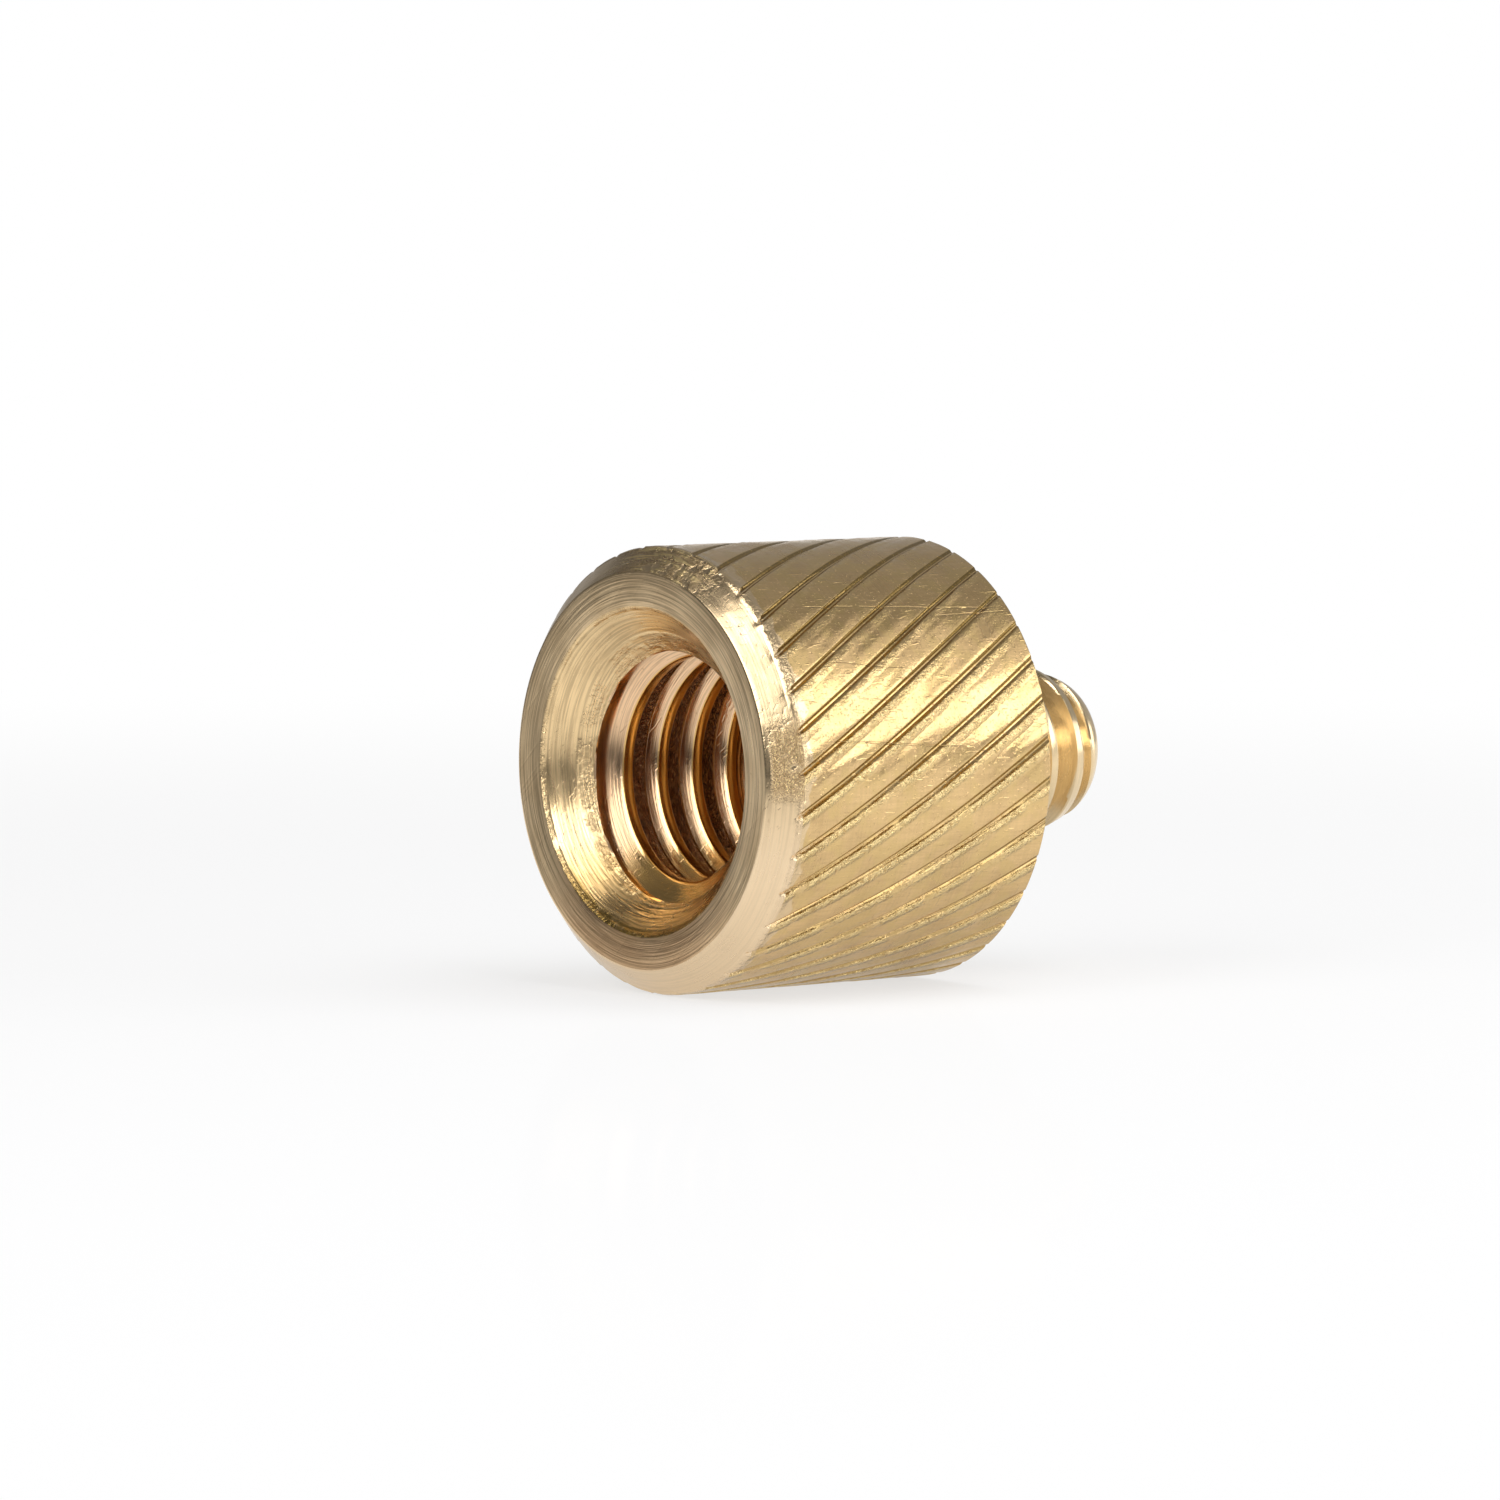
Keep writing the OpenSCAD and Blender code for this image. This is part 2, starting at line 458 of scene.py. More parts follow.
def object_noise(tree, scale, detail=2.0, distortion=0.0):
    """Noise over the adapter, with its scale in 1/mm: a number, or one for each of X, Y and Z."""
    sizes = scale if isinstance(scale, tuple) else (scale, scale, scale)
    sockets = {"Vector": object_position(tree), "Scale": [size / MM for size in sizes]}
    stretched = node(tree, "ShaderNodeMapping", sockets).outputs[0]
    return noise(tree, stretched, detail=detail, distortion=distortion)


def new_group(name, inputs, outputs):
    """An empty node group, with its inputs as {name: default value} and its outputs as names."""
    group = bpy.data.node_groups.new(name, "ShaderNodeTree")
    for label, default in inputs.items():
        socket = group.interface.new_socket(label, in_out="INPUT", socket_type="NodeSocketFloat")
        socket.default_value = default
    for label in outputs:
        group.interface.new_socket(label, in_out="OUTPUT", socket_type="NodeSocketFloat")
    return group, group.nodes.new("NodeGroupInput").outputs, group.nodes.new("NodeGroupOutput").inputs


def place(tree, group, **values):
    """The outputs of a node group that is placed in a material with its own values."""
    made = tree.nodes.new("ShaderNodeGroup")
    made.node_tree = group
    for name, value in values.items():
        feed(tree, made.inputs[name.replace("_", " ").capitalize()], value)
    return made.outputs


# ---------------------------------------------------------------- effects shared by the finishes
def axis_coordinates():
    """Distance from the axis, direction round it and height, in millimetres."""
    group, _, out = new_group("Axis coordinates", {}, ["Radius", "Cosine", "Sine", "Turn", "Height"])
    parts = node(group, "ShaderNodeSeparateXYZ", {0: object_position(group)}).outputs
    x, y, z = (product(group, part, 1 / MM) for part in parts)
    squares = math_node(group, "ADD", product(group, x, x), product(group, y, y))
    radius = highest(group, math_node(group, "SQRT", squares), 0.01)
    group.links.new(radius, out["Radius"])
    group.links.new(math_node(group, "DIVIDE", x, radius), out["Cosine"])
    group.links.new(math_node(group, "DIVIDE", y, radius), out["Sine"])
    group.links.new(math_node(group, "ARCTAN2", y, x), out["Turn"])
    group.links.new(z, out["Height"])
    return group


def turning_marks():
    """Fine lines that a cutting edge leaves as the work turns: long round the axis, narrow across."""
    inputs = {"Across": 0.0, "Cosine": 0.0, "Sine": 0.0, "Spacing": 0.1, "Break up": 2.0}
    group, inner, out = new_group("Turning marks", inputs, ["Fine", "Broad"])
    fine = math_node(group, "DIVIDE", inner["Across"], inner["Spacing"])
    cosine = product(group, inner["Cosine"], inner["Break up"])
    sine = product(group, inner["Sine"], inner["Break up"])
    for label, scale, detail in (("Fine", 1.0, 3.0), ("Broad", 0.22, 2.0)):
        across = product(group, fine, scale)
        vector = node(group, "ShaderNodeCombineXYZ", {0: cosine, 1: sine, 2: across}).outputs[0]
        group.links.new(noise(group, vector, detail=detail), out[label])
    return group


def groove_coordinates():
    """Distance square to the nearest groove of the knurl, and a place on the barrel untwisted along it."""
    inputs = {"Turn": 0.0, "Height": 0.0}
    group, inner, out = new_group("Groove coordinates", inputs, ["Offset", "East", "North"])
    twist = product(group, inner["Height"], math.tan(GROOVE_ANGLE) / BARREL_R)
    turn = math_node(group, "ADD", inner["Turn"], twist)
    past_first = math_node(group, "SUBTRACT", turn, FIRST_GROOVE)
    count = product(group, past_first, GROOVES / (2 * math.pi))
    whole = math_node(group, "FRACT", math_node(group, "ADD", count, 0.5))
    group.links.new(product(group, math_node(group, "SUBTRACT", whole, 0.5), GROOVE_GAP), out["Offset"])
    group.links.new(product(group, math_node(group, "COSINE", turn), BARREL_R), out["East"])
    group.links.new(product(group, math_node(group, "SINE", turn), BARREL_R), out["North"])
    return group


def scratches():
    """Thin stray lines from handling, in three directions."""
    group, inner, out = new_group("Handling scratches", {"Amount": 0.5}, ["Lines"])
    position = object_position(group)
    found = []
    for angles, shift in (((0.3, 0.9, 0.2), 3.0), ((1.2, 0.1, 1.9), 11.0), ((0.1, 1.5, 0.8), 23.0)):
        sockets = {"Vector": position, "Rotation": angles, "Scale": (120.0, 4200.0, 4200.0),
                   "Location": (shift, 0, 0)}
        long_grain = node(group, "ShaderNodeMapping", sockets).outputs[0]
        found.append(ramp(group, noise(group, long_grain, detail=1.0), 0.68, 0.72))
    group.links.new(product(group, highest(group, *found), inner["Amount"]), out["Lines"])
    return group


def stains():
    """Soft blotches where the brass has dulled, and small dark specks."""
    group, inner, out = new_group("Stains", {"Size": 2.0, "Specks": 0.5}, ["Blotches", "Dots"])
    scale = math_node(group, "DIVIDE", 1 / MM, inner["Size"])
    blotches = noise(group, object_position(group), scale, detail=4.0)
    group.links.new(ramp(group, blotches, 0.35, 0.7), out["Blotches"])
    dots = ramp(group, object_noise(group, 6.0), 0.68, 0.76)
    group.links.new(product(group, dots, inner["Specks"]), out["Dots"])
    return group


def drag_marks():
    """Long light scratches that run nearly along the barrel: direction round the axis in degrees where each
    starts, the two heights between which it runs, and the degrees that it drifts between them."""
    group, inner, out = new_group("Drag marks", {"Turn": 0.0, "Height": 0.0}, ["Lines"])
    found = []
    for start, low, high, drift in ((-3.3, 2.6, 12.2, 2.9), (1.6, 8.6, 12.2, -0.5), (14.0, 3.0, 6.5, 2.5),
                                    (120.0, 4.0, 10.5, -4.0), (215.0, 2.0, 9.0, 3.0)):
        share = ramp(group, inner["Height"], low, high)
        middle = math_node(group, "MULTIPLY_ADD", share, math.radians(drift), math.radians(start))
        apart = math_node(group, "SINE", math_node(group, "SUBTRACT", inner["Turn"], middle))
        far = product(group, math_node(group, "ABSOLUTE", apart), BARREL_R)
        found.append(product(group, ramp(group, far, 0.04, 0.018), ramp(group, share, 0.0, 0.04),
                             ramp(group, share, 1.0, 0.96)))
    broken = ramp(group, object_noise(group, (2.0, 2.0, 1.2), detail=3.0), 0.3, 0.42)
    group.links.new(product(group, highest(group, *found), broken), out["Lines"])
    return group


def worn_patches():
    """Places on the bevel that knocks have dented and dulled: direction round the axis and half width in
    degrees, and the radius from which the place reaches outward."""
    inputs = {"Cosine": 0.0, "Sine": 0.0, "Radius": 0.0}
    group, inner, out = new_group("Worn patches", inputs, ["Wear"])
    ragged = ramp(group, object_noise(group, 2.2, detail=3.0), 0.3, 0.5)
    found = []
    for direction, half_width, inner_r in ((-40, 19, 7.0), (39, 9, 7.15)):
        angle = math.radians(direction)
        toward = math_node(group, "ADD", product(group, inner["Cosine"], math.cos(angle)),
                           product(group, inner["Sine"], math.sin(angle)))
        outside = math.cos(math.radians(1.4 * half_width))
        inside = math.cos(math.radians(0.6 * half_width))
        found.append(product(group, ramp(group, toward, outside, inside),
                             ramp(group, inner["Radius"], inner_r, inner_r + 0.15)))
    group.links.new(product(group, highest(group, *found), ragged), out["Wear"])
    return group


def edge_burr():
    """The rough edge that the knurl left where it ran out over the bevel."""
    group, inner, out = new_group("Edge burr", {"Height": 0.0}, ["Relief"])
    near = product(group, ramp(group, inner["Height"], 0.74, 0.9), ramp(group, inner["Height"], 1.3, 1.0),
                   ramp(group, object_noise(group, 0.8), 0.36, 0.52, 0.2, 1.0))
    crumbs = object_noise(group, 5.0, detail=3.0, distortion=1.0)
    group.links.new(product(group, crumbs, near), out["Relief"])
    return group


def under_side():
    """The side of the adapter that lies lowest in the studio, where finishes paint shade and reflections: 0
    up to a low share, 1 from a high one.
    """
    inputs = {"Cosine": 0.0, "Sine": 0.0, "Low": 0.0, "High": 1.0}
    group, inner, out = new_group("Under side", inputs, ["Mask"])
    down = math_node(group, "SUBTRACT", product(group, inner["Sine"], math.sqrt(0.5)),
                     product(group, inner["Cosine"], math.sqrt(0.5)))
    group.links.new(ramp(group, down, inner["Low"], inner["High"]), out["Mask"])
    return group


EFFECTS = {"axis": axis_coordinates(), "turning": turning_marks(), "grooves": groove_coordinates(),
           "scratches": scratches(), "stains": stains(), "drags": drag_marks(), "wear": worn_patches(),
           "burr": edge_burr(), "under side": under_side()}


def turning(tree, axis, across, spacing, break_up=2.0):
    """Turning marks. across is Radius or Height, the way that the cutting tool moved."""
    return place(tree, EFFECTS["turning"], across=axis[across], cosine=axis["Cosine"], sine=axis["Sine"],
                 spacing=spacing, break_up=break_up)


def low_side(tree, axis, low, high):
    """A mask of the adapter's under side, which grows from a low to a high share of the way down."""
    return place(tree, EFFECTS["under side"], cosine=axis["Cosine"], sine=axis["Sine"],
                 low=low, high=high)["Mask"]


def add_burr(tree, axis, height):
    """The height with the rough edge between bevel and knurl added."""
    return add_to(tree, height, place(tree, EFFECTS["burr"], height=axis["Height"])["Relief"], 0.07)


# ---------------------------------------------------------------- the finishes
BRASS = (0.84, 0.58, 0.28, 1.0)
PALE_BRASS = (0.83, 0.625, 0.375, 1.0)
# painted reflection of the pale floor, for the bevel's low side
FLOOR_SHEEN_BRASS = (0.95, 0.74, 0.50, 1.0)
CUT_BRASS = (0.90, 0.66, 0.36, 1.0)
TURNED_BRASS = (0.90, 0.70, 0.42, 1.0)
TAPPED_BRASS = (0.86, 0.58, 0.35, 1.0)
WARM_BRASS = (0.84, 0.52, 0.22, 1.0)
# painted reflection: a deeper gold for the low side of the countersink and of the thread
REFLECTED_GOLD_BRASS = (0.96, 0.60, 0.20, 1.0)
# painted reflection of the brass across the hole, for the thread's crests
CREST_REFLECTION_BRASS = (0.82, 0.51, 0.16, 1.0)
# torn grains; the lighter tone is partly a painted reflection and glint
BURR_SHEEN_BRASS = (0.98, 0.75, 0.36, 1.0)
GRAIN_BRASS = (0.60, 0.40, 0.16, 1.0)
OLIVE_BRASS = (0.74, 0.53, 0.22, 1.0)
# dark torn metal, and painted shade on the low side of the mouth's face
TORN_AND_SHADE_BRASS = (0.58, 0.29, 0.13, 1.0)
# real dull stains, specks and wear, and painted shade low in the countersink
DULL_AND_SHADE_BRASS = (0.36, 0.23, 0.10, 1.0)
# painted shade, for the grooves and the countersink's low rim
RECESS_SHADE_BRASS = (0.30, 0.19, 0.05, 1.0)

STAIN_SIZE = 2.0                   # of the dull blotches
SPECKS = 0.4                       # strength of the dark specks
SCRATCH_DEPTH = 0.006              # of stray scratches
DRAG_DEPTH = 0.03                  # of the long ones along the barrel


def brass(name, colour, roughness, across, spacing, mark_depth, mark_tone,
          scratch=0.4, stain=0.25, extra=None):
    """A brass finish. across, spacing, mark_depth and mark_tone are those of its turning marks, scratch and
    stain are shares, and extra is a function that adds what this finish alone has."""
    material = bpy.data.materials.new(name)
    material.use_nodes = True
    tree = material.node_tree
    shader = tree.nodes["Principled BSDF"]
    axis = place(tree, EFFECTS["axis"])
    marks = turning(tree, axis, across, spacing)
    lines = place(tree, EFFECTS["scratches"], amount=scratch)["Lines"]
    spots = place(tree, EFFECTS["stains"], size=STAIN_SIZE, specks=SPECKS)

    tint = mix_colour(tree, product(tree, spots["Blotches"], stain), colour, DULL_AND_SHADE_BRASS)
    tint = shade(tree, tint, marks["Fine"], 0.38, 0.6, 1 - mark_tone)
    tint = mix_colour(tree, spots["Dots"], tint, DULL_AND_SHADE_BRASS)
    shine = ramp(tree, marks["Broad"], 0.3, 0.7, roughness - 0.04, roughness + 0.05)
    shine = add_to(tree, shine, spots["Blotches"], 0.08)
    height = product(tree, marks["Fine"], mark_depth)
    height = add_to(tree, height, marks["Broad"], 1.2 * mark_depth)
    height = add_to(tree, height, lines, -SCRATCH_DEPTH)
    if extra:
        tint, shine, height = extra(tree, axis, tint, shine, height)
    bump = node(tree, "ShaderNodeBump", {"Height": height, "Strength": 1.0, "Distance": MM})
    tree.links.new(tint, shader.inputs["Base Color"])
    tree.links.new(shine, shader.inputs["Roughness"])
    tree.links.new(bump.outputs["Normal"], shader.inputs["Normal"])
    shader.inputs["Metallic"].default_value = 1.0
    return material


def land_marks(tree, axis, groove, tint, height):
    """Soft dents along the lands, streaks, olive patches, fine grain, specks, hairs and long scratches."""
    along = product(tree, axis["Height"], 0.32)
    sockets = {0: groove["East"], 1: groove["North"], 2: along}
    untwisted = node(tree, "ShaderNodeCombineXYZ", sockets).outputs[0]
    height = add_to(tree, height, noise(tree, untwisted, 1.15, detail=1.0), 0.08)
    streaks = object_noise(tree, (13.0, 13.0, 0.6), detail=3.0)
    height = add_to(tree, height, streaks, 0.0015)
    tint = shade(tree, tint, streaks, 0.35, 0.6, 0.93)
    olive = ramp(tree, object_noise(tree, 1.3, detail=3.0), 0.42, 0.6, 0.0, 0.5)
    tint = mix_colour(tree, olive, tint, OLIVE_BRASS)
    height = add_to(tree, height, object_noise(tree, 11.0, detail=3.0), 0.0045)
    specks = ramp(tree, object_noise(tree, 11.0, detail=1.0), 0.68, 0.74)
    height = add_to(tree, height, specks, 0.008)
    hairs = highest(tree, object_noise(tree, (1.0, 6.0, 6.0)), object_noise(tree, (5.0, 5.0, 0.9)))
    height = add_to(tree, height, ramp(tree, hairs, 0.64, 0.7), 0.007)
    drags = place(tree, EFFECTS["drags"], turn=axis["Turn"], height=axis["Height"])["Lines"]
    return tint, add_to(tree, height, drags, -DRAG_DEPTH)


def smeared_edge(tree, axis, tint):
    """The bevel's pale metal, smeared a little way up the lands to an uneven edge."""
    smear = add_to(tree, axis["Height"], object_noise(tree, 0.9), -1.6)
    return mix_colour(tree, ramp(tree, smear, 0.6, 0.52, 0.0, 0.85), tint, PALE_BRASS)


def groove_burrs(tree, axis, offset, tint, height):
    """Torn grains along one side of each groove, thickest on one side of the barrel, with a lighter tint
    that is partly a painted reflection of the floor.
    """
    thick = math_node(tree, "ADD", product(tree, axis["Cosine"], -0.26), product(tree, axis["Sine"], 0.966))
    thick = ramp(tree, thick, -0.3, 0.6, 0.2, 1.0)
    burr = product(tree, ramp(tree, offset, GROOVE_FLOOR + 0.02, LIP_TOP),
                   ramp(tree, offset, LIP_END + 0.16, LIP_END - 0.04))
    patchy = ramp(tree, object_noise(tree, 0.9), 0.36, 0.55, 0.25, 1.0)
    burr = product(tree, burr, product(tree, thick, patchy))
    grains = object_noise(tree, 8.0, detail=3.0, distortion=1.0)
    height = add_to(tree, height, product(tree, grains, burr), 0.11)
    # the grains' lighter tint is partly a painted reflection of the floor
    grain_sheen_tint = mix_colour(tree, ramp(tree, grains, 0.38, 0.5), GRAIN_BRASS, BURR_SHEEN_BRASS)
    return mix_colour(tree, product(tree, burr, 0.9), tint, grain_sheen_tint), height


def painted_groove_shade(tree, offset, tint):
    """Painted shade in the grooves: dark on one wall and half of the floor, and fainter on the other wall.
    """
    near = product(tree, ramp(tree, offset, -GROOVE_HALF - 0.01, -GROOVE_HALF + 0.01),
                   ramp(tree, offset, 0.0, -0.02))
    far = product(tree, ramp(tree, offset, GROOVE_FLOOR, GROOVE_FLOOR + 0.02),
                  ramp(tree, offset, GROOVE_HALF + 0.01, GROOVE_HALF - 0.01, 0.0, 0.4))
    return mix_colour(tree, highest(tree, near, far), tint, RECESS_SHADE_BRASS)


def pressed_lands(tree, axis, tint, shine, height):
    """The knurled barrel: marks on its lands, smeared metal at its foot, burrs along the grooves with a
    partly painted sheen, and painted shade in the grooves.
    """
    groove = place(tree, EFFECTS["grooves"], turn=axis["Turn"], height=axis["Height"])
    tint, height = land_marks(tree, axis, groove, tint, height)
    tint = smeared_edge(tree, axis, tint)
    tint, height = groove_burrs(tree, axis, groove["Offset"], tint, height)
    tint = painted_groove_shade(tree, groove["Offset"], tint)
    return tint, shine, add_burr(tree, axis, height)


def knocked_bevel(tree, axis, tint, shine, height):
    """A paler low side that is a painted reflection of the floor, soft waves, and two dull patches with
    small dents, one with open turning lines. The bright gold of those lines and of the dents' grains is
    partly a painted glint.
    """
    # painted reflection: the low side made paler, as it mirrors the bright floor
    low = low_side(tree, axis, 0.0, 0.4)
    tint = mix_colour(tree, product(tree, low, 0.6), tint, FLOOR_SHEEN_BRASS)
    wear = place(tree, EFFECTS["wear"], cosine=axis["Cosine"], sine=axis["Sine"],
                 radius=axis["Radius"])["Wear"]
    dented = product(tree, wear, ramp(tree, axis["Sine"], -0.4, 0.2, 0.4, 1.0))
    turned = product(tree, wear, ramp(tree, axis["Sine"], 0.2, -0.4))
    pits = object_noise(tree, 13.0, detail=4.0, distortion=1.5)
    tracks = turning(tree, axis, "Height", spacing=0.09, break_up=6.0)["Fine"]
    dull = product(tree, wear, ramp(tree, pits, 0.6, 0.4, 0.4, 0.85))
    tint = mix_colour(tree, dull, tint, DULL_AND_SHADE_BRASS)
    # bright gold lines and grains in the patches, partly a painted glint
    lines = product(tree, turned, ramp(tree, tracks, 0.5, 0.6, 0.0, 0.85))
    grains = product(tree, dented, ramp(tree, pits, 0.56, 0.64, 0.0, 0.9))
    tint = mix_colour(tree, highest(tree, lines, grains), tint, BURR_SHEEN_BRASS)
    shine = add_to(tree, shine, wear, 0.06)
    height = add_to(tree, height, object_noise(tree, 0.9), 0.02)
    height = add_to(tree, height, product(tree, pits, dented), 0.05)
    height = add_to(tree, height, product(tree, tracks, turned), 0.03)
    return tint, shine, add_burr(tree, axis, height)


def shaded_low_face(tree, axis, tint, shine, height):
    """Painted shade: a browner tone on the low side of the mouth's face."""
    share = product(tree, low_side(tree, axis, 0.5, 0.95), 0.32)
    return mix_colour(tree, share, tint, TORN_AND_SHADE_BRASS), shine, height


def chattered_cone(tree, axis, tint, shine, height):
    """Crumbs along both edges of the countersink, and low down in it coarser lines, a deeper gold that is a
    painted reflection, and darker lines and a dark rim that are painted shade."""
    inner_edge = ramp(tree, axis["Radius"], HOLE_ROOT_R + 0.2, HOLE_ROOT_R + 0.08)
    outer_edge = ramp(tree, axis["Radius"], SINK_R - 0.16, SINK_R - 0.06)
    rough = product(tree, highest(tree, inner_edge, outer_edge),
                    ramp(tree, object_noise(tree, 1.1), 0.36, 0.55, 0.15, 1.0))
    crumbs = object_noise(tree, 8.0, detail=3.0, distortion=1.0)
    height = add_to(tree, height, product(tree, crumbs, rough), 0.05)
    low = low_side(tree, axis, 0.45, 0.85)
    tracks = turning(tree, axis, "Radius", spacing=0.06, break_up=4.0)["Fine"]
    height = add_to(tree, height, product(tree, tracks, low), 0.02)
    # painted reflection: a deeper gold on the low side
    tint = mix_colour(tree, product(tree, low, 0.4), tint, REFLECTED_GOLD_BRASS)
    # painted shade: darker lines on the low side
    dark = product(tree, low, ramp(tree, tracks, 0.53, 0.45, 0.0, 0.6))
    tint = mix_colour(tree, dark, tint, DULL_AND_SHADE_BRASS)
    # painted shade: a dark rim by the outer edge on the low side
    rim = product(tree, ramp(tree, axis["Radius"], SINK_R - 0.32, SINK_R - 0.16),
                  ramp(tree, object_noise(tree, 2.5), 0.3, 0.45, 0.2, 0.9))
    return mix_colour(tree, product(tree, low, rim), tint, RECESS_SHADE_BRASS), shine, height


def torn_flanks(tree, axis, tint, shine, height):
    """Tears near the thread's roots past its first turn, which catch little light, a deeper gold on the low
    side that is a painted reflection, and crests painted warmer as a reflection of the brass across the
    hole.
    """
    near_root = ramp(tree, axis["Radius"], HOLE_R + 0.42, HOLE_R + 0.50)
    torn = product(tree, near_root, ramp(tree, axis["Height"], 2.4, 3.0))
    tears = object_noise(tree, 7.0, detail=3.0, distortion=1.2)
    height = add_to(tree, height, product(tree, tears, torn), 0.28)
    # painted reflection: a deeper gold on the low side
    low = low_side(tree, axis, 0.6, 0.9)
    tint = mix_colour(tree, product(tree, low, 0.8), tint, REFLECTED_GOLD_BRASS)
    dark = product(tree, torn, ramp(tree, tears, 0.56, 0.46, 0.15, 0.85))
    tint = mix_colour(tree, dark, tint, TORN_AND_SHADE_BRASS)
    # painted reflection: the crests warmer, as they mirror the brass across the hole
    crest = ramp(tree, axis["Radius"], HOLE_R + 0.06, HOLE_R + 0.03, 0.0, 0.8)
    return mix_colour(tree, crest, tint, CREST_REFLECTION_BRASS), shine, height


def finishes():
    """One material for each finish, in the order of FINISHES."""
    return [
        brass("knurled_brass", BRASS, roughness=0.18, across="Height", spacing=0.09, mark_depth=0.0006,
              mark_tone=0.05, scratch=0.6, extra=pressed_lands),
        brass("bevelled_brass", PALE_BRASS, roughness=0.2, across="Height", spacing=0.05, mark_depth=0.0018,
              mark_tone=0.14, scratch=0.5, stain=0.1, extra=knocked_bevel),
        brass("faced_brass", PALE_BRASS, roughness=0.3, across="Radius", spacing=0.055, mark_depth=0.013,
              mark_tone=0.42, stain=0.3, extra=shaded_low_face),
        brass("countersunk_brass", CUT_BRASS, roughness=0.22, across="Radius", spacing=0.055,
              mark_depth=0.008, mark_tone=0.3, extra=chattered_cone),
        brass("tapped_brass", TAPPED_BRASS, roughness=0.15, across="Radius", spacing=0.05, mark_depth=0.003,
              mark_tone=0.25, stain=0.1, extra=torn_flanks),
        brass("bored_brass", WARM_BRASS, roughness=0.3, across="Height", spacing=0.08, mark_depth=0.003,
              mark_tone=0.12),
        brass("shouldered_brass", TURNED_BRASS, roughness=0.3, across="Radius", spacing=0.09,
              mark_depth=0.003, mark_tone=0.12, stain=0.15),
        brass("threaded_brass", TURNED_BRASS, roughness=0.2, across="Radius", spacing=0.05,
              mark_depth=0.0015, mark_tone=0.08, stain=0.12),
    ]


def adapter():
    """The finished adapter, in place of the plain solid."""
    piece = bpy.data.objects.new("thread_adapter", adapter_mesh())
    bpy.context.scene.collection.objects.link(piece)
    for material in finishes():
        piece.data.materials.append(material)
    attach(piece, "root")
    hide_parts("adapter")


# ---------------------------------------------------------------- the studio
# The studio's own directions, for an adapter that lies on its side with the mouth to the front left:
# right and away lie in the floor, and up points away from it.
HEADING = math.radians(51.15)
AXIS = Vector((0, 0, 1))
SIDE = Vector((1, 1, 0)).normalized()
UP = Vector((1, -1, 0)).normalized()
RIGHT = AXIS * math.sin(HEADING) + SIDE * math.cos(HEADING)
AWAY = AXIS * math.cos(HEADING) - SIDE * math.sin(HEADING)
STUDIO = Matrix((RIGHT, AWAY, UP)).transposed().to_4x4()

CAMERA_ELEVATION = math.radians(4.13)
CAMERA_DISTANCE = 297.5
CAMERA_AIM_RIGHT = 3.888           # the view's centre, from the middle of the mouth
CAMERA_AIM_UP = 0.776
SENSOR = 36.0
LENS = 202.1

LAMP_DISTANCE = 300
FLOOR_COLOUR = (0.9, 0.9, 0.9045, 1)
FLOOR_TONE = 0.95                  # of the floor near the adapter
FLOOR_SHADE = 0.61                 # of the part of it that the metal sees in the adapter's shade
FLOOR_SHADE_PLACE = (10, 9, 0)     # middle of that shade: right and away from the mouth's foot
FLOOR_GLOW = 0.7                   # how far that tone fills the floor's shadows
CORNER_RIGHT = -0.67               # towards a dark corner of the room, which the metal mirrors
CORNER_AWAY = -0.74
WHITE = (1, 1, 1, 1)


def camera():
    """The camera, a little above the lying adapter and in front of it."""
    tilt = CAMERA_ELEVATION
    aim = Vector((CAMERA_AIM_RIGHT, CAMERA_AIM_UP * math.sin(tilt), CAMERA_AIM_UP * math.cos(tilt)))
    back = Vector((0, -math.cos(tilt), math.sin(tilt)))
    data = bpy.data.cameras.new("camera")
    data.lens = LENS
    data.sensor_width = SENSOR
    data.clip_start = 0.01
    data.clip_end = 10
    made = bpy.data.objects.new("camera", data)
    bpy.context.scene.collection.objects.link(made)
    stand = Matrix.Translation((aim + back * CAMERA_DISTANCE) * MM)
    made.matrix_world = STUDIO @ stand @ Matrix.Rotation(math.pi / 2 - tilt, 4, "X")
    bpy.context.scene.camera = made


def softbox(name, toward, width, height, radiance, roll=0.0, mirrored=True):
    """A soft lamp that faces the adapter from a direction (right, away, up), with its shine in white units.
    roll turns it in its own plane, in degrees. A lamp that isn't mirrored lights matt surfaces alone."""
    data = bpy.data.lights.new(name, "AREA")
    data.shape = "RECTANGLE"
    data.size = width * MM
    data.size_y = height * MM
    data.energy = 4 * radiance * width * height * MM * MM
    made = bpy.data.objects.new(name, data)
    bpy.context.scene.collection.objects.link(made)
    toward = Vector(toward).normalized()
    facing = toward.to_track_quat("Z", "Y").to_matrix().to_4x4()
    rolled = facing @ Matrix.Rotation(math.radians(roll), 4, "Z")
    made.matrix_world = STUDIO @ Matrix.Translation(toward * LAMP_DISTANCE * MM) @ rolled
    made.visible_camera = False
    made.visible_glossy = mirrored


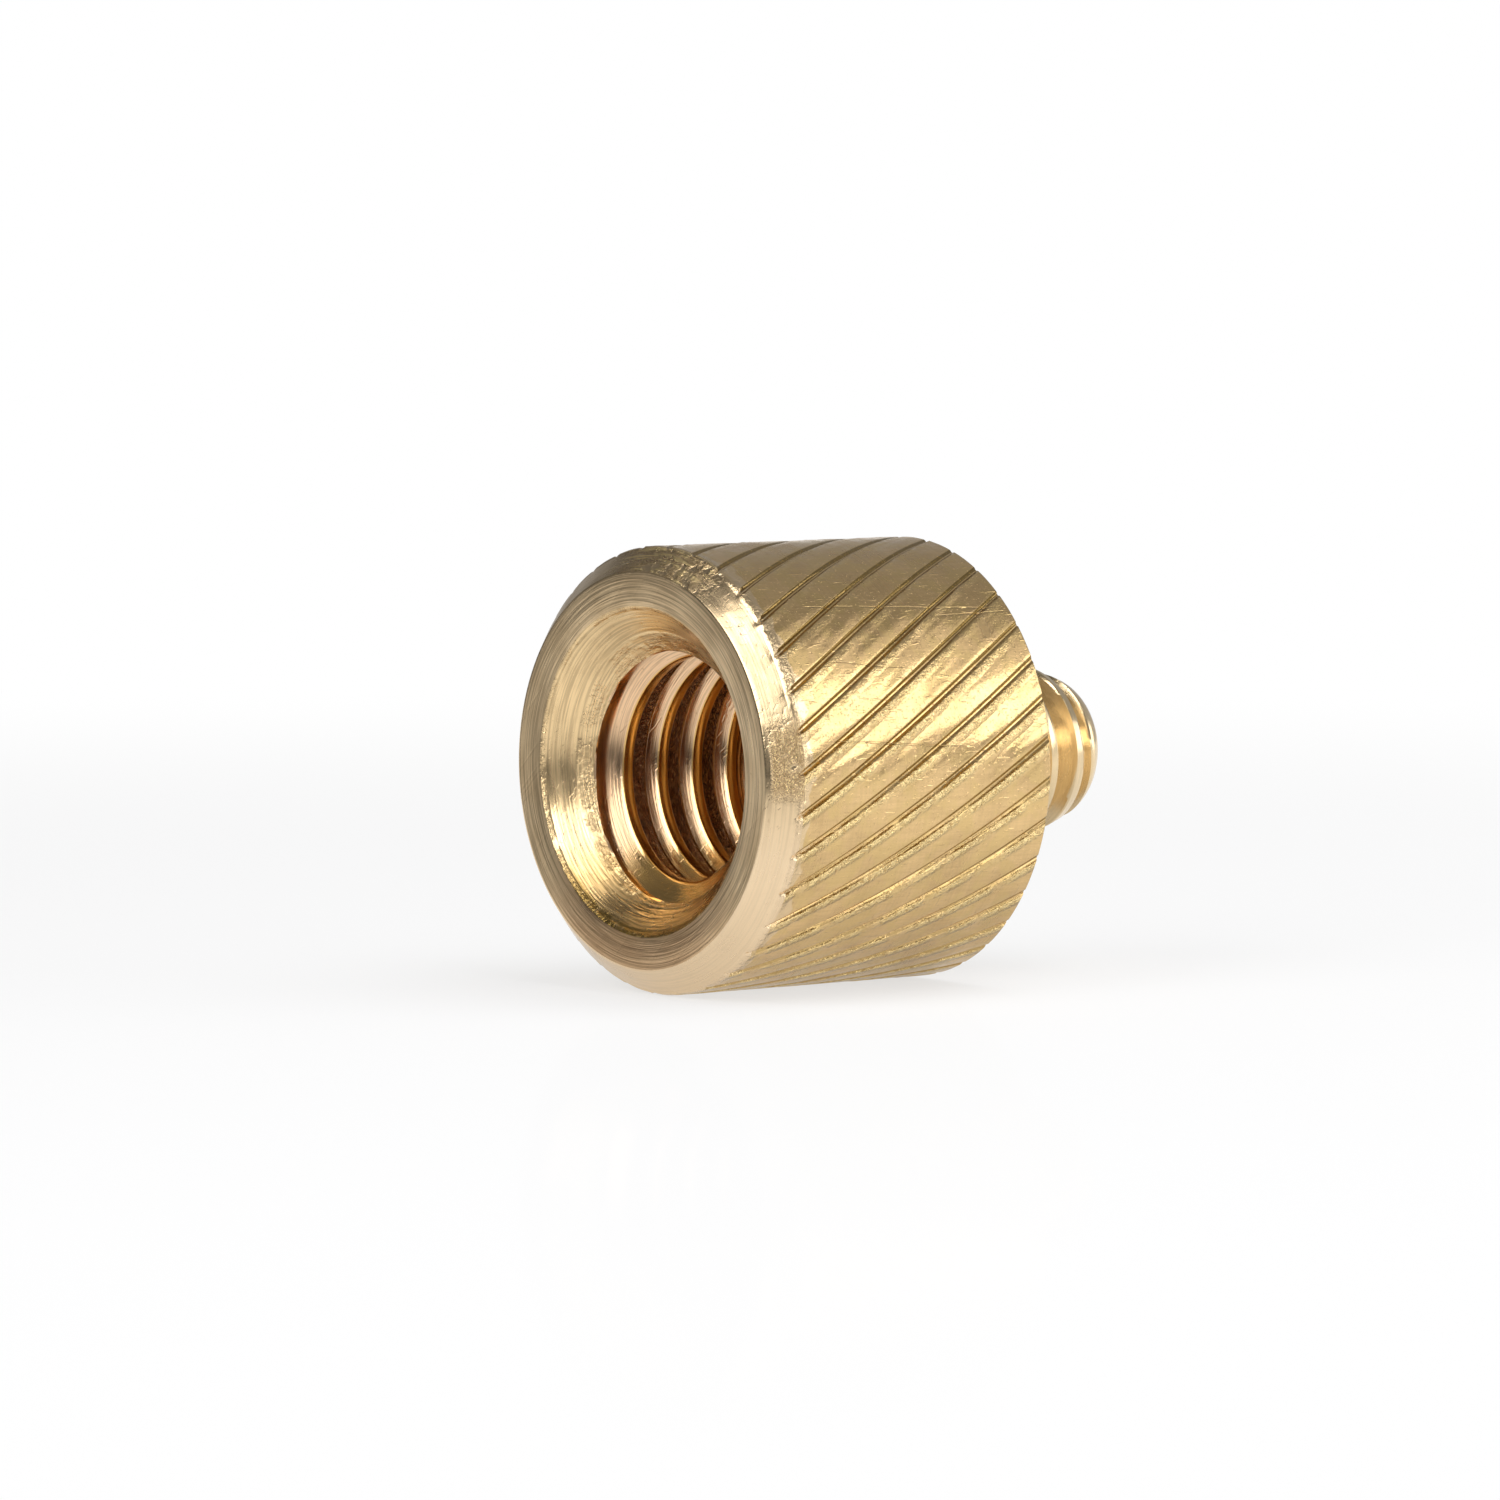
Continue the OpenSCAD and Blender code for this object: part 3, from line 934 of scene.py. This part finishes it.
def background():
    """A white room to the eye and behind the adapter, and a dimmer one to what it lights from elsewhere."""
    world = bpy.data.worlds.new("studio")
    bpy.context.scene.world = world
    world.use_nodes = True
    tree = world.node_tree
    shine = tree.nodes["Background"]
    direction = node(tree, "ShaderNodeTexCoord").outputs["Generated"]
    corner = (CORNER_RIGHT * RIGHT + CORNER_AWAY * AWAY).normalized()
    toward = {}
    for name, axis in (("right", RIGHT), ("away", AWAY), ("up", UP), ("corner", corner)):
        dot = node(tree, "ShaderNodeVectorMath", {0: direction, 1: axis}, operation="DOT_PRODUCT")
        toward[name] = dot.outputs["Value"]
    room = product(tree, ramp(tree, toward["up"], 0.05, 0.45, 0.47, 0.32),
                   ramp(tree, toward["right"], -0.8, 0.1, 0.36, 1.0),
                   ramp(tree, toward["away"], -0.98, -0.6, 0.75, 1.0),
                   ramp(tree, toward["corner"], 0.9, 0.97, 1.0, 0.08))
    path = node(tree, "ShaderNodeLightPath").outputs
    behind = product(tree, path["Is Glossy Ray"], ramp(tree, toward["away"], 0.985, 0.998))
    seen = highest(tree, path["Is Camera Ray"], path["Is Transmission Ray"], behind)
    strength = math_node(tree, "MULTIPLY_ADD", seen, math_node(tree, "SUBTRACT", 1.0, room), room)
    tree.links.new(strength, shine.inputs["Strength"])
    shine.inputs["Color"].default_value = WHITE


def floor_material(name, gloss, gloss_roughness, fade_from, fade_to):
    """Pale floor with faint shadows near the adapter, which turns white far from it. Its back is clear."""
    material = bpy.data.materials.new(name)
    material.use_nodes = True
    tree = material.node_tree
    tree.nodes.clear()
    matt = node(tree, "ShaderNodeBsdfDiffuse", {"Color": FLOOR_COLOUR}).outputs[0]
    mirror = node(tree, "ShaderNodeBsdfGlossy", {"Color": WHITE, "Roughness": gloss_roughness}).outputs[0]
    lit = node(tree, "ShaderNodeMixShader", {0: gloss, 1: matt, 2: mirror}).outputs[0]
    position = object_position(tree)
    distance = node(tree, "ShaderNodeVectorMath", {0: position}, operation="LENGTH").outputs["Value"]
    path = node(tree, "ShaderNodeLightPath").outputs
    seen = highest(tree, path["Is Camera Ray"], path["Is Transmission Ray"])
    shown = ramp(tree, distance, fade_from * MM, fade_to * MM, FLOOR_TONE)
    tone = math_node(tree, "ADD", product(tree, seen, shown),
                     product(tree, path["Is Glossy Ray"], mirrored_floor(tree, position)))
    pale = node(tree, "ShaderNodeEmission", {"Color": WHITE, "Strength": tone}).outputs[0]
    fade = ramp(tree, distance, fade_from * MM, fade_to * MM, FLOOR_GLOW)
    share = product(tree, highest(tree, seen, path["Is Glossy Ray"]), fade)
    surface = node(tree, "ShaderNodeMixShader", {0: share, 1: lit, 2: pale}).outputs[0]
    clear = node(tree, "ShaderNodeBsdfTransparent").outputs[0]
    back = node(tree, "ShaderNodeNewGeometry").outputs["Backfacing"]
    one_sided = node(tree, "ShaderNodeMixShader", {0: back, 1: surface, 2: clear}).outputs[0]
    node(tree, "ShaderNodeOutputMaterial", {"Surface": one_sided})
    return material


def mirrored_floor(tree, position):
    """The floor's tone as the metal mirrors it, a painted shade: dimmer in the adapter's shade, to the
    left, far in front and towards the room's dark corner."""
    middle = [part * MM for part in FLOOR_SHADE_PLACE]
    from_shade = node(tree, "ShaderNodeVectorMath", {0: position, 1: middle}, operation="DISTANCE")
    right, away, _ = node(tree, "ShaderNodeSeparateXYZ", {0: position}).outputs
    corner = math_node(tree, "ADD", product(tree, right, CORNER_RIGHT), product(tree, away, CORNER_AWAY))
    return product(tree, ramp(tree, from_shade.outputs["Value"], 3 * MM, 24 * MM, FLOOR_SHADE, FLOOR_TONE),
                   ramp(tree, right, -60 * MM, -10 * MM, 0.88),
                   ramp(tree, away, -75 * MM, -35 * MM, 0.45),
                   ramp(tree, corner, 35 * MM, 80 * MM, 1.0, 0.12))


def plane(name, matrix, half, material):
    """A square stage plane, with its face along its own Z. half is half its width."""
    mesh = bpy.data.meshes.new(name)
    size = half * MM
    corners = [(-size, -size, 0), (size, -size, 0), (size, size, 0), (-size, size, 0)]
    mesh.from_pydata(corners, [], [(0, 1, 2, 3)])
    mesh.materials.append(material)
    made = bpy.data.objects.new(name, mesh)
    bpy.context.scene.collection.objects.link(made)
    made.matrix_world = matrix
    return made


def floors():
    """The floor under the lying adapter, and one under the standing adapter that only the eye sees."""
    lying = floor_material("lying_floor", gloss=0.045, gloss_roughness=0.06, fade_from=30, fade_to=170)
    plane("lying_floor", STUDIO @ Matrix.Translation((0, 0, -BARREL_R * MM)), 900, lying)
    standing = floor_material("standing_floor", gloss=0.03, gloss_roughness=0.1, fade_from=40, fade_to=160)
    under = plane("standing_floor", Matrix.Translation((0, 0, -0.02 * MM)), 400, standing)
    under.visible_diffuse = False
    under.visible_glossy = False
    under.visible_shadow = False


def lamps():
    """Four large softboxes that the metal mirrors, two small ones, and one that lights the floor alone."""
    softbox("key_softbox", (-0.55, -0.61, 0.57), 270, 160, radiance=2.9, roll=-50)
    softbox("right_softbox", (0.94, -0.14, 0.33), 200, 120, radiance=1.8)
    softbox("upper_softbox", (0.78, 0.05, 0.60), 190, 100, radiance=0.45)
    softbox("side_softbox", (0.69, -0.67, 0.27), 200, 120, radiance=1.6)
    softbox("back_softbox", (0.86, 0.5, 0.1), 90, 90, radiance=1.5)
    softbox("front_softbox", (0.35, -0.55, 0.75), 120, 120, radiance=1.2)
    softbox("floor_softbox", (0.4, -0.1, 1.0), 260, 260, radiance=1.9, mirrored=False)


camera()
adapter()
floors()
background()
lamps()
bpy.context.scene.view_settings.view_transform = "Standard"
